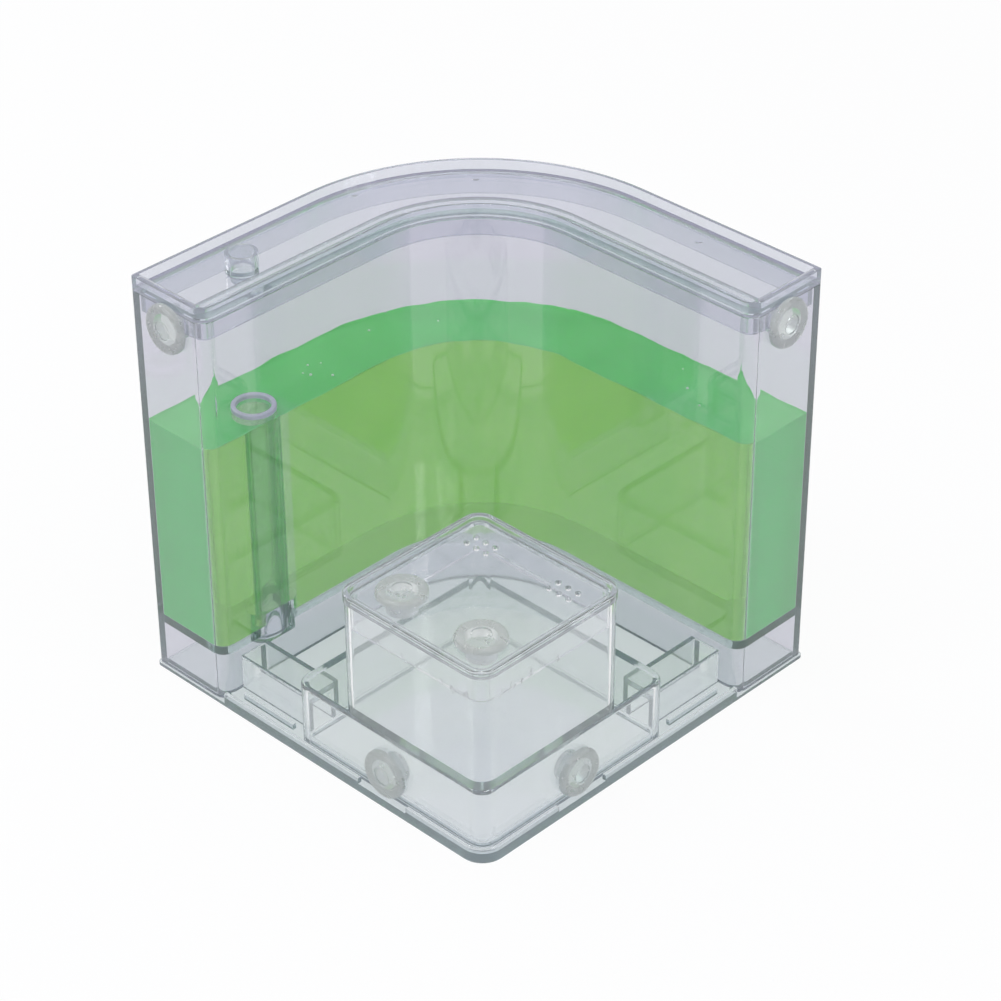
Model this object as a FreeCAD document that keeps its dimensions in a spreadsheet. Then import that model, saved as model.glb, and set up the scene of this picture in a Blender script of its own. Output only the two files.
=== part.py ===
import FreeCAD, Part
import math
import os

import Sketcher

# Clear plastic ant habitat: a square base tray, an L-shaped gel tank along its two rear sides,
# and a two-storey feeding tower in the open front corner.
# Millimetres. +Z is up, the origin is the centre of the base footprint on the table.
# The tank's left arm lies along -X with its end face looking to -Y,
# and its right arm lies along +Y with its end face looking to +X.

PARTS_FOLDER = "parts"

SIZES = {
    # Base tray
    "base_side": 150.0,
    "base_front_radius": 8.0,
    "base_side_radius": 1.5,
    "flange_thick": 1.2,
    "floor_height": 3.0,
    "rim_height": 5.0,
    "rim_width": 1.4,
    "rim_notch_width": 21.0,
    "stop_rib_length": 23.2,
    "stop_rib_width": 1.3,
    "stop_rib_inset": 5.0,
    "stop_rib_from_side": 49.5,
    "locator_height": 1.5,
    "locator_width": 1.2,
    # Gel tank
    "tank_setback": 0.75,
    "tank_arm": 32.15,
    "tank_wall": 2.4,
    "tank_back_radius": 75.0,
    "tank_inner_radius": 40.5,
    "tank_nose_radius": 5.0,
    "tank_heel_radius": 0.8,
    "tank_top": 141.6,
    "tank_floor_low": 17.5,
    "tank_floor_thick": 3.2,
    "tank_edge_round": 0.5,
    "seat_gap": 0.25,
    # Doorways and covered passages
    "door_from_face": 13.4,
    "door_width": 9.3,
    "door_height": 11.5,
    "passage_wall": 1.2,
    "passage_gap": 0.3,
    # Climbing tube and its socket
    "tube_outer": 14.3,
    "tube_wall": 1.45,
    "tube_top": 99.0,
    "tube_gap": 0.35,
    "tube_from_end": 26.05,
    "socket_wall": 2.4,
    "socket_low": 13.5,
    "socket_high": 25.0,
    "socket_ledge": 1.2,
    "socket_clearance": 0.05,
    # Nest gel
    "gel_top": 96.3,
    "gel_gap": 0.05,
    # Tank lid
    "lid_height": 5.2,
    "lid_rim_outer": 1.6,
    "lid_rim_inner": 4.6,
    "lid_rim_end": 2.0,
    "lid_recess": 3.2,
    "lid_skirt_depth": 7.0,
    "lid_skirt_wall": 1.4,
    "lid_skirt_gap": 0.3,
    "lid_slot_length": 13.0,
    "lid_slot_width": 1.0,
    "lid_slot_depth": 0.6,
    # Stopper in the lid's filling port
    "stopper_outer": 10.4,
    "stopper_height": 7.0,
    "stopper_wall": 1.2,
    "stopper_floor": 1.9,
    "stopper_stem": 7.4,
    "stopper_stem_length": 4.0,
    "stopper_from_face": 18.85,
    "stopper_from_end": 28.45,
    # Silicone plugs
    "plug_flange": 16.6,
    "plug_flange_thick": 2.4,
    "plug_dome": 1.7,
    "plug_stem": 10.2,
    "plug_stem_length": 6.5,
    "plug_dimple": 6.4,
    "plug_dimple_depth": 0.7,
    "plug_clearance": 0.08,
    "end_plug_drop": 7.1,
    "skirt_notch_margin": 1.2,
    # Lower chamber
    "chamber_side": 83.1,
    "chamber_inset": 2.4,
    "chamber_top": 25.6,
    "chamber_wall": 2.4,
    "chamber_roof": 2.4,
    "chamber_radius": 6.0,
    "chamber_edge_round": 1.2,
    "chamber_plug_height": 11.6,
    # Feeding box
    "box_side": 61.7,
    "box_inset": 2.8,
    "box_wall": 2.0,
    "box_floor": 2.4,
    "box_top": 67.1,
    "box_radius": 6.0,
    "box_edge_round": 0.5,
    "spigot_bore": 8.0,
    "spigot_wall": 1.35,
    "spigot_gap": 0.15,
    "spigot_inset": 10.5,
    # Feeding box lid
    "box_lid_overhang": 0.4,
    "box_lid_height": 3.0,
    "box_lid_rim": 2.0,
    "box_lid_recess": 1.6,
    "box_lid_edge_round": 0.5,
    "box_skirt_depth": 9.5,
    "box_skirt_wall": 1.3,
    "box_skirt_gap": 0.3,
    "box_plug_near": 14.4,
    "box_plug_pitch": 33.6,
    "vent_hole": 2.0,
    "vent_pitch": 4.1,
    "vent_from_back": 12.2,
    "vent_near": 12.9,
    "vent_group_pitch": 34.9,
    "groove_length": 24.0,
    "groove_width": 0.6,
    "groove_depth": 0.4,
}

VENT_COLUMNS = 3
VENT_ROWS = 2

doc = FreeCAD.newDocument("ant_habitat")
sheet = doc.addObject("Spreadsheet::Sheet", "Sizes")
for row, (alias, number) in enumerate(SIZES.items(), start=1):
    sheet.set(f"A{row}", alias)
    sheet.set(f"B{row}", str(number))
    sheet.setAlias(f"B{row}", alias)
doc.recompute()


class Size:
    """A size of the sheet or a sum of sizes: the text binds a property, the value draws it."""

    def __init__(self, text, value):
        self.text = text
        self.value = value

    def __add__(self, other):
        return Size(f"({self.text} + {other.text})", self.value + other.value)

    def __sub__(self, other):
        return Size(f"({self.text} - {other.text})", self.value - other.value)

    def __neg__(self):
        return Size(f"(-1 * {self.text})", -self.value)

    def __mul__(self, factor):
        return Size(f"({self.text} * {factor})", self.value * factor)

    def __truediv__(self, divisor):
        return Size(f"({self.text} / {divisor})", self.value / divisor)


def size(alias):
    return Size(f"Sizes.{alias}", float(sheet.get(alias)))


# Lines that several pieces share

GROUND = Size("0", 0.0)
HALF = size("base_side") / 2
TANK_FACE = HALF - size("tank_setback")
TANK_INNER_FACE = TANK_FACE - size("tank_arm")
TANK_ROOM = TANK_FACE - size("tank_wall")
TANK_INNER_ROOM = TANK_INNER_FACE + size("tank_wall")
TANK_FLOOR = size("tank_floor_low") + size("tank_floor_thick")
TUBE_RADIUS = size("tube_outer") / 2
TUBE_BORE_RADIUS = TUBE_RADIUS - size("tube_wall")
TUBE_X = -(TANK_INNER_ROOM + size("tube_gap") + TUBE_RADIUS)
TUBE_Y = -(TANK_FACE - size("tube_from_end"))
SOCKET_RADIUS = TUBE_RADIUS + size("socket_wall")
STOPPER_X = -(TANK_FACE - size("stopper_from_face"))
STOPPER_Y = -(TANK_FACE - size("stopper_from_end"))
END_PLUG_CENTRE = (TANK_FACE + TANK_INNER_FACE) / 2
DOOR_CENTRE = TANK_FACE - size("door_from_face")
DOOR_NEAR = DOOR_CENTRE - size("door_width") / 2
DOOR_FAR = DOOR_CENTRE + size("door_width") / 2
DOOR_TOP = size("floor_height") + size("door_height")
PLUG_RADIUS = size("plug_stem") / 2
PLUG_HOLE_RADIUS = PLUG_RADIUS + size("plug_clearance")
END_PLUG_Z = size("tank_top") - size("end_plug_drop")
CHAMBER_FAR = HALF - size("chamber_inset")
CHAMBER_NEAR = CHAMBER_FAR - size("chamber_side")
CHAMBER_MIDDLE = (CHAMBER_FAR + CHAMBER_NEAR) / 2
BOX_FAR = HALF - size("box_inset")
BOX_NEAR = BOX_FAR - size("box_side")
SPIGOT_CENTRE = BOX_NEAR + size("spigot_inset")
SPIGOT_BORE_RADIUS = size("spigot_bore") / 2
SPIGOT_RADIUS = SPIGOT_BORE_RADIUS + size("spigot_wall")
BOX_LID_TOP = size("box_top") + size("box_lid_height")


# Drawing helpers

def new_body(label):
    body = doc.addObject("PartDesign::Body", label)
    body.Label = label
    return body


def sketch_on(body, name, role, offset):
    """A sketch on one of the body's own origin planes, moved along the plane's normal."""
    sketch = body.newObject("Sketcher::SketchObject", name)
    plane = next(item for item in body.Origin.OriginFeatures if item.Role == role)
    sketch.AttachmentSupport = [(plane, "")]
    sketch.MapMode = "FlatFace"
    sketch.setExpression(".AttachmentOffset.Base.z", offset.text)
    return sketch


def constrain(sketch, kind, places, value):
    index = sketch.addConstraint(Sketcher.Constraint(kind, *places, value.value))
    name = f"{kind}_{index}"
    sketch.renameConstraint(index, name)
    sketch.setExpression(f"Constraints.{name}", value.text)


def direction(start, end):
    step = FreeCAD.Vector(end[0].value - start[0].value, end[1].value - start[1].value, 0)
    return step.normalize()


def corner_arc(sketch, corner, backward, forward):
    """A rounded corner. Returns its index and which of its ends meets the line before it."""
    radius = corner[2].value
    point = FreeCAD.Vector(corner[0].value, corner[1].value, 0)
    centre = point + (backward + forward) * radius
    first = point + backward * radius - centre
    last = point + forward * radius - centre
    turns_left = (-backward).cross(forward).z > 0
    start, end = (first, last) if turns_left else (last, first)
    circle = Part.Circle(centre, FreeCAD.Vector(0, 0, 1), radius)
    arc = Part.ArcOfCircle(circle, math.atan2(start.y, start.x), math.atan2(end.y, end.x))
    index = sketch.addGeometry(arc)
    constrain(sketch, "Radius", (index,), corner[2])
    return index, (1 if turns_left else 2)


def outline(sketch, corners):
    """A closed outline of upright and level lines. A corner is x, y and a radius or None."""
    count = len(corners)
    lines = []
    arcs = []
    for number, corner in enumerate(corners):
        backward = direction(corner, corners[number - 1])
        forward = direction(corner, corners[(number + 1) % count])
        arcs.append(corner_arc(sketch, corner, backward, forward) if corner[2] else None)
    for number, corner in enumerate(corners):
        following = corners[(number + 1) % count]
        forward = direction(corner, following)
        start = FreeCAD.Vector(corner[0].value, corner[1].value, 0)
        end = FreeCAD.Vector(following[0].value, following[1].value, 0)
        start += forward * (corner[2].value if corner[2] else 0)
        end -= forward * (following[2].value if following[2] else 0)
        index = sketch.addGeometry(Part.LineSegment(start, end))
        upright = abs(forward.y) > abs(forward.x)
        sketch.addConstraint(Sketcher.Constraint("Vertical" if upright else "Horizontal", index))
        lines.append((index, upright))
    for number, (line, upright) in enumerate(lines):
        before = lines[number - 1][0]
        arc = arcs[number]
        if arc:
            entry = arc[1]
            sketch.addConstraint(Sketcher.Constraint("Tangent", before, 2, arc[0], entry))
            sketch.addConstraint(Sketcher.Constraint("Tangent", arc[0], 3 - entry, line, 1))
        else:
            sketch.addConstraint(Sketcher.Constraint("Coincident", before, 2, line, 1))
        place = corners[number][0] if upright else corners[number][1]
        kind = "DistanceX" if upright else "DistanceY"
        constrain(sketch, kind, (-1, 1, line, 1), place)


def rectangle(x_low, x_high, y_low, y_high, radius=None):
    return [(x_low, y_low, radius), (x_high, y_low, radius),
            (x_high, y_high, radius), (x_low, y_high, radius)]


def circle(sketch, radius, x=None, y=None):
    """A circle at x, y, or at the sketch's origin."""
    centre = FreeCAD.Vector(x.value if x else 0, y.value if y else 0, 0)
    index = sketch.addGeometry(Part.Circle(centre, FreeCAD.Vector(0, 0, 1), radius.value))
    constrain(sketch, "Radius", (index,), radius)
    if x:
        constrain(sketch, "DistanceX", (-1, 1, index, 3), x)
        constrain(sketch, "DistanceY", (-1, 1, index, 3), y)
    else:
        sketch.addConstraint(Sketcher.Constraint("Coincident", index, 3, -1, 1))


def extrude(body, kind, sketch, length, reverse=False):
    feature = body.newObject(f"PartDesign::{kind}", f"{sketch.Name}_{kind.lower()}")
    feature.Profile = sketch
    feature.setExpression("Length", length.text)
    feature.Reversed = reverse
    sketch.Visibility = False
    doc.recompute()
    return feature


def pad(body, sketch, length, reverse=False):
    extrude(body, "Pad", sketch, length, reverse)


def pocket(body, sketch, length, reverse=False):
    """A cut against the sketch plane's normal, or along it when reversed. It has to cut."""
    before = body.Shape.Volume
    extrude(body, "Pocket", sketch, length, reverse)
    if not body.Shape.Volume < before:
        raise RuntimeError(f"{sketch.Name} cuts nothing")


def round_edges(body, name, radius, wanted):
    """Rounds the edges for which wanted(edge) is true."""
    names = [f"Edge{number}" for number, edge in enumerate(body.Tip.Shape.Edges, start=1)
             if wanted(edge)]
    fillet = body.newObject("PartDesign::Fillet", name)
    fillet.Base = (body.Group[-2], names)
    fillet.setExpression("Radius", radius.text)
    doc.recompute()


def level_edge(height):
    """A test for edges that lie level at a height."""
    def wanted(edge):
        box = edge.BoundBox
        return abs(box.ZMin - height.value) < 1e-4 and abs(box.ZMax - height.value) < 1e-4
    return wanted


def place(body, x, y, z, turn_axis=None):
    """Moves a body to x, y, z, with its own +Z turned a quarter about an axis."""
    if turn_axis:
        body.Placement = FreeCAD.Placement(FreeCAD.Vector(), FreeCAD.Rotation(turn_axis, 90))
    body.setExpression(".Placement.Base.x", x.text)
    body.setExpression(".Placement.Base.y", y.text)
    body.setExpression(".Placement.Base.z", z.text)


TURN_TO_FRONT = FreeCAD.Vector(1, 0, 0)
TURN_TO_RIGHT = FreeCAD.Vector(0, 1, 0)


def tank_outline(outer, inner, end, back_radius, inner_radius, nose_radius, heel_radius):
    """The tank's L in plan: outer face, inner face and end faces, each from the centre."""
    return [(-outer, -end, heel_radius), (-inner, -end, nose_radius),
            (-inner, inner, inner_radius), (end, inner, nose_radius),
            (end, outer, heel_radius), (-outer, outer, back_radius)]


def tank_room_outline(gap):
    """The L of the tank's inside, drawn in by a gap."""
    wall = size("tank_wall") + gap
    return tank_outline(TANK_FACE - wall, TANK_INNER_FACE + wall, TANK_FACE - wall,
                        size("tank_back_radius") - wall, size("tank_inner_radius") + wall,
                        size("tank_nose_radius") - wall, None)


# Base tray

def base_tray():
    body = new_body("base_tray")
    back_radius = size("tank_back_radius") + size("tank_setback")
    flange = sketch_on(body, "base_flange", "XY_Plane", GROUND)
    outline(flange, [(-HALF, -HALF, size("base_side_radius")),
                     (HALF, -HALF, size("base_front_radius")),
                     (HALF, HALF, size("base_side_radius")),
                     (-HALF, HALF, back_radius)])
    pad(body, flange, size("flange_thick"))

    inside = TANK_ROOM - size("seat_gap")
    open_side = TANK_INNER_FACE - size("seat_gap")
    floor = sketch_on(body, "base_floor", "XY_Plane", size("flange_thick"))
    outline(floor, [(-inside, -inside, None), (-open_side, -inside, None),
                    (-open_side, -HALF, None), (HALF, -HALF, size("base_front_radius")),
                    (HALF, open_side, None), (inside, open_side, None), (inside, inside, None),
                    (-inside, inside, size("tank_back_radius") - (TANK_FACE - inside))])
    pad(body, floor, size("floor_height") - size("flange_thick"))

    rim_in = HALF - size("rim_width")
    rim_rise = size("rim_height") - size("floor_height")
    rim = sketch_on(body, "base_rim", "XY_Plane", size("floor_height"))
    outline(rim, [(-open_side, -HALF, None), (HALF, -HALF, size("base_front_radius")),
                  (HALF, open_side, None), (rim_in, open_side, None),
                  (rim_in, -rim_in, size("base_front_radius") - size("rim_width")),
                  (-open_side, -rim_in, None)])
    pad(body, rim, rim_rise)

    notch_from = CHAMBER_MIDDLE - size("rim_notch_width") / 2
    notch_to = CHAMBER_MIDDLE + size("rim_notch_width") / 2
    beyond = HALF + size("rim_width")
    notch = sketch_on(body, "rim_notch_front", "XY_Plane", size("rim_height"))
    outline(notch, rectangle(notch_from, notch_to, -beyond, -rim_in))
    pocket(body, notch, rim_rise)
    notch = sketch_on(body, "rim_notch_right", "XY_Plane", size("rim_height"))
    outline(notch, rectangle(rim_in, beyond, -notch_to, -notch_from))
    pocket(body, notch, rim_rise)

    stop_ribs(body, rim_rise)
    chamber_locator(body)
    return body


def stop_ribs(body, rise):
    """Two low ribs on the floor beside the rim, between the tank and the chamber."""
    near = HALF - size("stop_rib_inset") - size("stop_rib_width") / 2
    far = HALF - size("stop_rib_inset") + size("stop_rib_width") / 2
    start = (HALF - size("stop_rib_from_side")) - size("stop_rib_length") / 2
    end = (HALF - size("stop_rib_from_side")) + size("stop_rib_length") / 2
    rib = sketch_on(body, "stop_rib_front", "XY_Plane", size("floor_height"))
    outline(rib, rectangle(-end, -start, -far, -near))
    pad(body, rib, rise)
    rib = sketch_on(body, "stop_rib_right", "XY_Plane", size("floor_height"))
    outline(rib, rectangle(near, far, start, end))
    pad(body, rib, rise)


def chamber_locator(body):
    """A low square frame on the floor that the chamber drops over."""
    inset = size("chamber_wall") + size("seat_gap")
    low = CHAMBER_NEAR + inset
    high = CHAMBER_FAR - inset
    width = size("locator_width")
    radius = size("chamber_radius") - inset
    frame = sketch_on(body, "chamber_locator", "XY_Plane", size("floor_height"))
    outline(frame, rectangle(low, high, -high, -low, radius))
    outline(frame, rectangle(low + width, high - width, width - high, -low - width,
                             radius - width))
    pad(body, frame, size("locator_height"))


# Gel tank

def gel_tank():
    body = new_body("gel_tank")
    walls = sketch_on(body, "tank_walls", "XY_Plane", size("flange_thick"))
    outline(walls, tank_outline(TANK_FACE, TANK_INNER_FACE, TANK_FACE,
                                size("tank_back_radius"), size("tank_inner_radius"),
                                size("tank_nose_radius"), size("tank_heel_radius")))
    pad(body, walls, size("tank_top") - size("flange_thick"))

    room = sketch_on(body, "tank_room", "XY_Plane", size("tank_top"))
    outline(room, tank_room_outline(GROUND))
    pocket(body, room, size("tank_top") - TANK_FLOOR)
    skirt = sketch_on(body, "tank_skirt_room", "XY_Plane", size("flange_thick"))
    outline(skirt, tank_room_outline(GROUND))
    pocket(body, skirt, size("tank_floor_low") - size("flange_thick"), reverse=True)

    inner_limit = TANK_INNER_FACE / 2
    foot = sketch_on(body, "inner_wall_foot", "XY_Plane", size("flange_thick"))
    outline(foot, [(-TANK_ROOM, -TANK_ROOM, None), (-inner_limit, -TANK_ROOM, None),
                   (-inner_limit, inner_limit, None), (TANK_ROOM, inner_limit, None),
                   (TANK_ROOM, TANK_ROOM, None),
                   (-TANK_ROOM, TANK_ROOM, size("tank_back_radius") - size("tank_wall"))])
    pocket(body, foot, size("floor_height") - size("flange_thick"), reverse=True)

    tube_socket(body)
    end_plug_holes(body)
    doorways(body)
    round_edges(body, "tank_top_edges", size("tank_edge_round"), level_edge(size("tank_top")))
    return body


def tube_socket(body):
    boss = sketch_on(body, "socket_boss", "XY_Plane", size("socket_low"))
    circle(boss, SOCKET_RADIUS, TUBE_X, TUBE_Y)
    pad(body, boss, size("socket_high") - size("socket_low"))
    ledge_top = size("socket_low") + size("socket_ledge")
    bore = sketch_on(body, "socket_bore", "XY_Plane", size("socket_high"))
    circle(bore, TUBE_RADIUS + size("socket_clearance"), TUBE_X, TUBE_Y)
    pocket(body, bore, size("socket_high") - ledge_top)
    hole = sketch_on(body, "socket_hole", "XY_Plane", ledge_top)
    circle(hole, TUBE_BORE_RADIUS, TUBE_X, TUBE_Y)
    pocket(body, hole, size("socket_ledge"))


def end_plug_holes(body):
    hole = sketch_on(body, "plug_hole_left", "XZ_Plane", TANK_FACE)
    circle(hole, PLUG_HOLE_RADIUS, -END_PLUG_CENTRE, END_PLUG_Z)
    pocket(body, hole, size("tank_wall"))
    hole = sketch_on(body, "plug_hole_right", "YZ_Plane", TANK_FACE)
    circle(hole, PLUG_HOLE_RADIUS, END_PLUG_CENTRE, END_PLUG_Z)
    pocket(body, hole, size("tank_wall"))


def doorways(body):
    """A doorway through the inner wall's skirt in each arm, open at the foot."""
    door = sketch_on(body, "doorway_left", "YZ_Plane", -TANK_INNER_FACE)
    outline(door, rectangle(-DOOR_FAR, -DOOR_NEAR, size("flange_thick"), DOOR_TOP))
    pocket(body, door, size("tank_wall"))
    door = sketch_on(body, "doorway_right", "XZ_Plane", -TANK_INNER_FACE)
    outline(door, rectangle(DOOR_NEAR, DOOR_FAR, size("flange_thick"), DOOR_TOP))
    pocket(body, door, size("tank_wall"))


# Climbing tube

def climbing_tube():
    body = new_body("climbing_tube")
    foot = size("socket_low") + size("socket_ledge")
    ring = sketch_on(body, "tube_ring", "XY_Plane", foot)
    circle(ring, TUBE_RADIUS, TUBE_X, TUBE_Y)
    circle(ring, TUBE_BORE_RADIUS, TUBE_X, TUBE_Y)
    pad(body, ring, size("tube_top") - foot)
    return body


# Nest gel

def nest_gel():
    body = new_body("nest_gel")
    gap = size("gel_gap")
    block = sketch_on(body, "gel_block", "XY_Plane", TANK_FLOOR + gap)
    outline(block, tank_room_outline(gap))
    pad(body, block, size("gel_top") - TANK_FLOOR - gap)
    tube_space = sketch_on(body, "gel_tube_space", "XY_Plane", size("gel_top"))
    circle(tube_space, TUBE_RADIUS + gap, TUBE_X, TUBE_Y)
    pocket(body, tube_space, size("gel_top") - TANK_FLOOR)
    socket_space = sketch_on(body, "gel_socket_space", "XY_Plane", TANK_FLOOR)
    circle(socket_space, SOCKET_RADIUS + gap, TUBE_X, TUBE_Y)
    pocket(body, socket_space, size("socket_high") + gap - TANK_FLOOR, reverse=True)
    return body


# Tank lid

def tank_lid():
    body = new_body("tank_lid")
    plate = sketch_on(body, "lid_plate", "XY_Plane", size("tank_top"))
    outline(plate, tank_outline(TANK_FACE, TANK_INNER_FACE, TANK_FACE,
                                size("tank_back_radius"), size("tank_inner_radius"),
                                size("tank_nose_radius"), size("tank_heel_radius")))
    pad(body, plate, size("lid_height"))
    lid_top = size("tank_top") + size("lid_height")
    round_edges(body, "lid_edges", size("tank_edge_round"), level_edge(lid_top))

    recess = sketch_on(body, "lid_recess", "XY_Plane", lid_top)
    outline(recess, tank_outline(TANK_FACE - size("lid_rim_outer"),
                                 TANK_INNER_FACE + size("lid_rim_inner"),
                                 TANK_FACE - size("lid_rim_end"),
                                 size("tank_back_radius") - size("lid_rim_outer"),
                                 size("tank_inner_radius") + size("lid_rim_inner"),
                                 None, None))
    pocket(body, recess, size("lid_recess"))

    skirt = sketch_on(body, "lid_skirt", "XY_Plane", size("tank_top"))
    outline(skirt, tank_room_outline(size("lid_skirt_gap")))
    outline(skirt, tank_room_outline(size("lid_skirt_gap") + size("lid_skirt_wall")))
    pad(body, skirt, size("lid_skirt_depth"), reverse=True)

    lid_skirt_notches(body)
    lid_end_slots(body, lid_top)
    port = sketch_on(body, "filling_port", "XY_Plane", lid_top)
    circle(port, size("stopper_stem") / 2 + size("plug_clearance"),
           STOPPER_X, STOPPER_Y)
    pocket(body, port, size("lid_height"))
    return body


def lid_skirt_notches(body):
    """Gaps in the skirt where the end plugs reach into the tank."""
    half_width = PLUG_RADIUS + size("skirt_notch_margin")
    low = END_PLUG_CENTRE - half_width
    high = END_PLUG_CENTRE + half_width
    depth = TANK_ROOM - size("plug_stem_length")
    notch = sketch_on(body, "skirt_notch_left", "XY_Plane", size("tank_top"))
    outline(notch, rectangle(-high, -low, -TANK_ROOM, -depth))
    pocket(body, notch, size("lid_skirt_depth"))
    notch = sketch_on(body, "skirt_notch_right", "XY_Plane", size("tank_top"))
    outline(notch, rectangle(depth, TANK_ROOM, low, high))
    pocket(body, notch, size("lid_skirt_depth"))


def lid_end_slots(body, lid_top):
    """Shallow fingernail slots in the end rims."""
    centre = TANK_FACE - size("lid_rim_end") / 2
    near = centre - size("lid_slot_width") / 2
    far = centre + size("lid_slot_width") / 2
    middle = (TANK_FACE + TANK_INNER_FACE) / 2
    start = middle - size("lid_slot_length") / 2
    end = middle + size("lid_slot_length") / 2
    slot = sketch_on(body, "end_slot_left", "XY_Plane", lid_top)
    outline(slot, rectangle(-end, -start, -far, -near))
    pocket(body, slot, size("lid_slot_depth"))
    slot = sketch_on(body, "end_slot_right", "XY_Plane", lid_top)
    outline(slot, rectangle(near, far, start, end))
    pocket(body, slot, size("lid_slot_depth"))


# Stopper of the filling port

def port_stopper():
    body = new_body("port_stopper")
    cup = sketch_on(body, "stopper_cup", "XY_Plane", GROUND)
    circle(cup, size("stopper_outer") / 2)
    pad(body, cup, size("stopper_height"))
    hollow = sketch_on(body, "stopper_hollow", "XY_Plane", size("stopper_height"))
    circle(hollow, size("stopper_outer") / 2 - size("stopper_wall"))
    pocket(body, hollow, size("stopper_height") - size("stopper_floor"))
    stem = sketch_on(body, "stopper_stem", "XY_Plane", GROUND)
    circle(stem, size("stopper_stem") / 2)
    pad(body, stem, size("stopper_stem_length"), reverse=True)
    panel = size("tank_top") + size("lid_height") - size("lid_recess")
    place(body, STOPPER_X, STOPPER_Y, panel)
    return body


# Silicone plugs

def silicone_plug(label):
    """A mushroom plug. Its flange's back face is at its own origin and it pulls out along +Z."""
    body = new_body(label)
    flange = sketch_on(body, f"{label}_flange", "XY_Plane", GROUND)
    circle(flange, size("plug_flange") / 2)
    pad(body, flange, size("plug_flange_thick"))
    round_edges(body, f"{label}_dome", size("plug_dome"), level_edge(size("plug_flange_thick")))
    dimple = sketch_on(body, f"{label}_dimple", "XY_Plane", size("plug_flange_thick"))
    circle(dimple, size("plug_dimple") / 2)
    pocket(body, dimple, size("plug_dimple_depth"))
    stem = sketch_on(body, f"{label}_stem", "XY_Plane", GROUND)
    circle(stem, PLUG_RADIUS)
    pad(body, stem, size("plug_stem_length"), reverse=True)
    return body


def silicone_plugs():
    end_at = END_PLUG_CENTRE
    chamber_at = CHAMBER_MIDDLE
    chamber_z = size("chamber_plug_height")
    box_seat = BOX_LID_TOP - size("box_lid_recess")
    box_near = BOX_NEAR + size("box_plug_near") - size("box_lid_overhang")
    box_row = BOX_FAR - size("box_plug_near")
    plugs = []
    plugs.append(silicone_plug("end_plug_left"))
    place(plugs[-1], -end_at, -TANK_FACE, END_PLUG_Z, TURN_TO_FRONT)
    plugs.append(silicone_plug("end_plug_right"))
    place(plugs[-1], TANK_FACE, end_at, END_PLUG_Z, TURN_TO_RIGHT)
    plugs.append(silicone_plug("chamber_plug_left"))
    place(plugs[-1], chamber_at, -CHAMBER_FAR, chamber_z, TURN_TO_FRONT)
    plugs.append(silicone_plug("chamber_plug_right"))
    place(plugs[-1], CHAMBER_FAR, -chamber_at, chamber_z, TURN_TO_RIGHT)
    plugs.append(silicone_plug("box_plug_left"))
    place(plugs[-1], box_near, -box_row, box_seat)
    plugs.append(silicone_plug("box_plug_front"))
    place(plugs[-1], box_near + size("box_plug_pitch"), -box_row, box_seat)
    return plugs


# Lower chamber with its two covered passages

def lower_chamber():
    body = new_body("lower_chamber")
    low = CHAMBER_NEAR
    high = CHAMBER_FAR
    wall = size("chamber_wall")
    cover = sketch_on(body, "chamber_cover", "XY_Plane", size("floor_height"))
    outline(cover, rectangle(low, high, -high, -low, size("chamber_radius")))
    pad(body, cover, size("chamber_top") - size("floor_height"))
    round_edges(body, "chamber_shoulder", size("chamber_edge_round"),
                level_edge(size("chamber_top")))

    side = size("passage_wall")
    reach = TANK_INNER_FACE - size("passage_gap")
    middle = low + wall / 2
    roof = size("door_height") + side
    passage = sketch_on(body, "passage_left", "XY_Plane", size("floor_height"))
    outline(passage, rectangle(-reach, middle, -DOOR_FAR - side, side - DOOR_NEAR))
    pad(body, passage, roof)
    passage = sketch_on(body, "passage_right", "XY_Plane", size("floor_height"))
    outline(passage, rectangle(DOOR_NEAR - side, DOOR_FAR + side, -middle, reach))
    pad(body, passage, roof)

    room = sketch_on(body, "chamber_room", "XY_Plane", size("floor_height"))
    outline(room, rectangle(low + wall, high - wall, wall - high, -low - wall,
                            size("chamber_radius") - wall))
    room_height = size("chamber_top") - size("chamber_roof") - size("floor_height")
    pocket(body, room, room_height, reverse=True)

    inside = low + wall * 2
    tunnel = sketch_on(body, "tunnel_left", "XY_Plane", size("floor_height"))
    outline(tunnel, rectangle(-TANK_INNER_FACE, inside, -DOOR_FAR, -DOOR_NEAR))
    pocket(body, tunnel, size("door_height"), reverse=True)
    tunnel = sketch_on(body, "tunnel_right", "XY_Plane", size("floor_height"))
    outline(tunnel, rectangle(DOOR_NEAR, DOOR_FAR, -inside, TANK_INNER_FACE))
    pocket(body, tunnel, size("door_height"), reverse=True)

    hole = sketch_on(body, "chamber_hole_left", "XZ_Plane", high)
    circle(hole, PLUG_HOLE_RADIUS, CHAMBER_MIDDLE, size("chamber_plug_height"))
    pocket(body, hole, wall)
    hole = sketch_on(body, "chamber_hole_right", "YZ_Plane", high)
    circle(hole, PLUG_HOLE_RADIUS, -CHAMBER_MIDDLE, size("chamber_plug_height"))
    pocket(body, hole, wall)
    hatch = sketch_on(body, "chamber_hatch", "XY_Plane", size("chamber_top"))
    circle(hatch, SPIGOT_RADIUS + size("spigot_gap"), SPIGOT_CENTRE, -SPIGOT_CENTRE)
    pocket(body, hatch, size("chamber_roof"))
    return body


# Feeding box

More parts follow.
